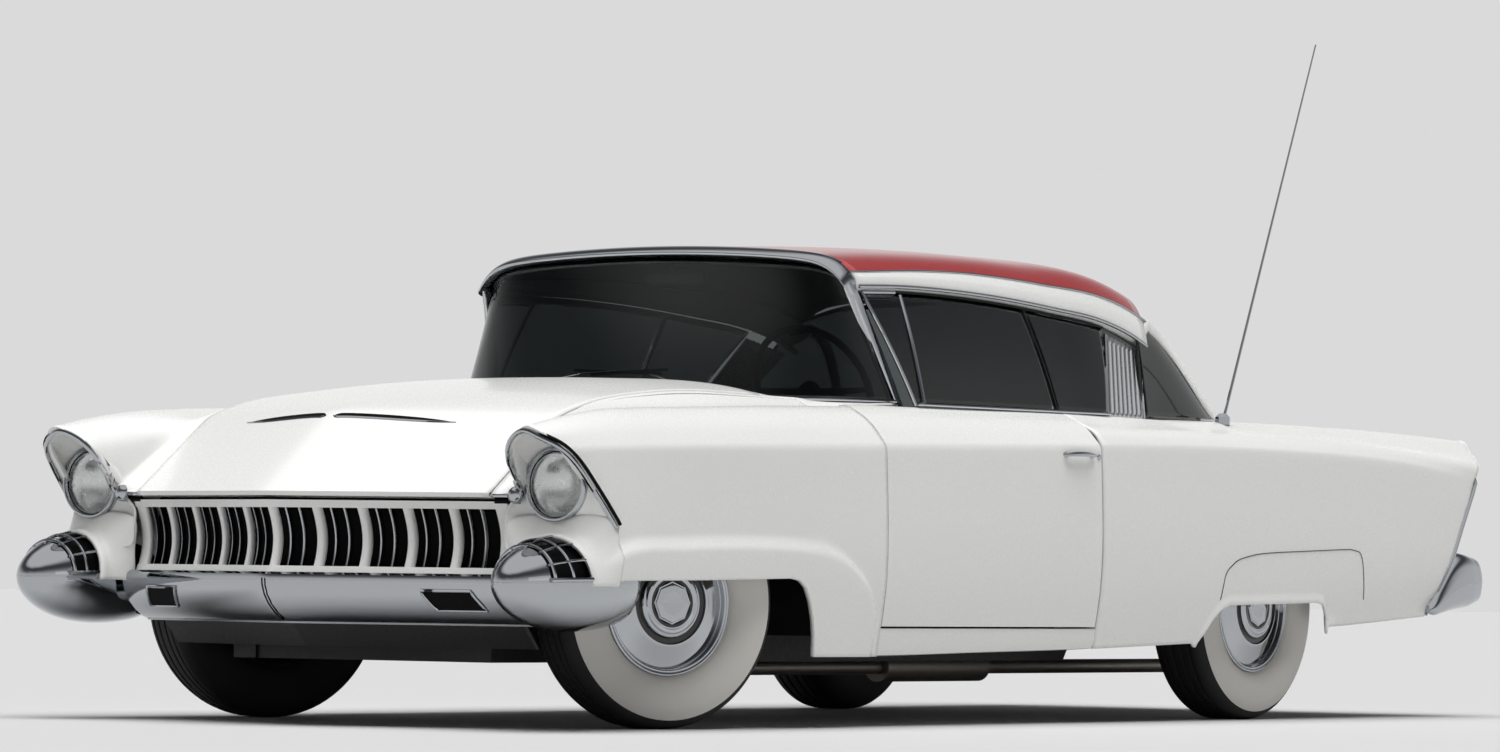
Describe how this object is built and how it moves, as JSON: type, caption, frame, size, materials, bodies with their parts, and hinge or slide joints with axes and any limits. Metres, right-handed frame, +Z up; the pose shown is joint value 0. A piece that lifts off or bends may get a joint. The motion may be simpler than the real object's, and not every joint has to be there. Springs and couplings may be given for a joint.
{
  "type": "two-door hardtop car of the 1950s",
  "caption": "Low two-door hardtop car with a prowed nose, hooded lamps, bullet bumper ends, wraparound glass and fins; wheels, steering, doors, hood and trunk lid move.",
  "frame": {"origin": "on the ground, under the middle of the bounding box", "axes": "+X forward, +Y to the left side of the car, +Z up"},
  "size_m": [5.2403, 1.976, 2.1519],
  "materials": {
    "tyre_rubber": "black bias-ply rubber with a wide white sidewall",
    "wheel_cover_chrome": "polished wheel cover on a steel rim",
    "window_glass": "clear, slightly green",
    "trim_chrome": "polished",
    "lamp_bezel": "chrome hood round a glass lens",
    "tail_lamp_plastic": "red lens in a chrome edge",
    "roof_paint": "copper red, glossy",
    "chassis_black": "satin black",
    "exhaust_steel": "dull",
    "engine_iron": "painted casting",
    "seat_leather": "smooth",
    "dash_paint": "semi-gloss",
    "steering_plastic": "ivory",
    "body_paint": "pearl white, glossy"
  },
  "bodies": {
    "car_body": {"antenna": "trim_chrome", "bumper_bullet_left": "trim_chrome", "bumper_bullet_right": "trim_chrome", "cowl_panel": "body_paint", "dashboard": "dash_paint", "engine_block": "engine_iron", "exhaust_system": "exhaust_steel", "floor_pan": "chassis_black", "frame_rails": "chassis_black", "front_bumper": "trim_chrome", "front_fender_left": "body_paint", "front_fender_right": "body_paint", "front_seat": "seat_leather", "front_suspension_left": "chassis_black", "front_suspension_right": "chassis_black", "front_valance": "chassis_black", "grille_panel": "body_paint", "headlamp_left": "lamp_bezel", "headlamp_right": "lamp_bezel", "quarter_glass_left": "window_glass", "quarter_glass_right": "window_glass", "quarter_panel_left": "body_paint", "quarter_panel_right": "body_paint", "rear_axle": "chassis_black", "rear_bumper": "trim_chrome", "rear_deck": "body_paint", "rear_glass": "window_glass", "rear_seat": "seat_leather", "ribbed_pillar_left": "trim_chrome", "ribbed_pillar_right": "trim_chrome", "roof_panel": "roof_paint", "tail_lamp_left": "tail_lamp_plastic", "tail_lamp_right": "tail_lamp_plastic", "tail_panel": "body_paint", "windshield_frame": "trim_chrome", "windshield_glass": "window_glass"},
    "hood": {"hood": "body_paint"},
    "trunk_lid": {"trunk_lid": "body_paint"},
    "steering_wheel": {"steering_wheel": "steering_plastic"},
    "door_left": {"door_left": "body_paint", "door_glass_left": "window_glass"},
    "knuckle_left": {"knuckle_left": "chassis_black"},
    "wheel_front_left": {"wheel_front_left": "wheel_cover_chrome", "tyre_front_left": "tyre_rubber"},
    "wheel_rear_left": {"wheel_rear_left": "wheel_cover_chrome", "tyre_rear_left": "tyre_rubber"},
    "door_right": {"door_right": "body_paint", "door_glass_right": "window_glass"},
    "knuckle_right": {"knuckle_right": "chassis_black"},
    "wheel_front_right": {"wheel_front_right": "wheel_cover_chrome", "tyre_front_right": "tyre_rubber"},
    "wheel_rear_right": {"wheel_rear_right": "wheel_cover_chrome", "tyre_rear_right": "tyre_rubber"}
  },
  "joints": [
    {"name": "steer_left", "type": "hinge", "parent": "car_body", "child": "knuckle_left", "pos_m": [1.722, 0.627, 0.352], "axis": [0, 0, 1], "range_deg": [-3, 45]},
    {"name": "front_wheel_spin_left", "type": "hinge", "parent": "knuckle_left", "child": "wheel_front_left", "pos_m": [1.76142, 0.72969, 0.352], "axis": [0.3584, 0.9336, 0], "continuous": true},
    {"name": "rear_wheel_spin_left", "type": "hinge", "parent": "car_body", "child": "wheel_rear_left", "pos_m": [-1.301, 0.754, 0.352], "axis": [0, 1, 0], "continuous": true},
    {"name": "door_hinge_left", "type": "hinge", "parent": "car_body", "child": "door_left", "pos_m": [0.9425, 0.9655, 0.54], "axis": [0, 0, -1], "range_deg": [0, 65]},
    {"name": "steer_right", "type": "hinge", "parent": "car_body", "child": "knuckle_right", "pos_m": [1.722, -0.627, 0.352], "axis": [0, 0, 1], "range_deg": [-3, 45]},
    {"name": "front_wheel_spin_right", "type": "hinge", "parent": "knuckle_right", "child": "wheel_front_right", "pos_m": [1.68258, -0.72969, 0.352], "axis": [0.3584, 0.9336, 0], "continuous": true},
    {"name": "rear_wheel_spin_right", "type": "hinge", "parent": "car_body", "child": "wheel_rear_right", "pos_m": [-1.301, -0.754, 0.352], "axis": [0, 1, 0], "continuous": true},
    {"name": "door_hinge_right", "type": "hinge", "parent": "car_body", "child": "door_right", "pos_m": [0.9425, -0.9655, 0.54], "axis": [0, 0, 1], "range_deg": [0, 65]},
    {"name": "hood_hinge", "type": "hinge", "parent": "car_body", "child": "hood", "pos_m": [1.23, 0, 0.97454], "axis": [0, -1, 0], "range_deg": [0, 50]},
    {"name": "trunk_hinge", "type": "hinge", "parent": "car_body", "child": "trunk_lid", "pos_m": [-1.86, 0, 0.91741], "axis": [0, 1, 0], "range_deg": [0, 65]},
    {"name": "steering_wheel_turn", "type": "hinge", "parent": "car_body", "child": "steering_wheel", "pos_m": [0.47, 0.37, 0.985], "axis": [-0.9063, 0, 0.4226], "range_deg": [-60, 820]}
  ],
  "couplings": [
    {"joint": "steer_right", "follows": "steer_left", "ratio": 1},
    {"joint": "steering_wheel_turn", "follows": "steer_left", "ratio": 18}
  ]
}
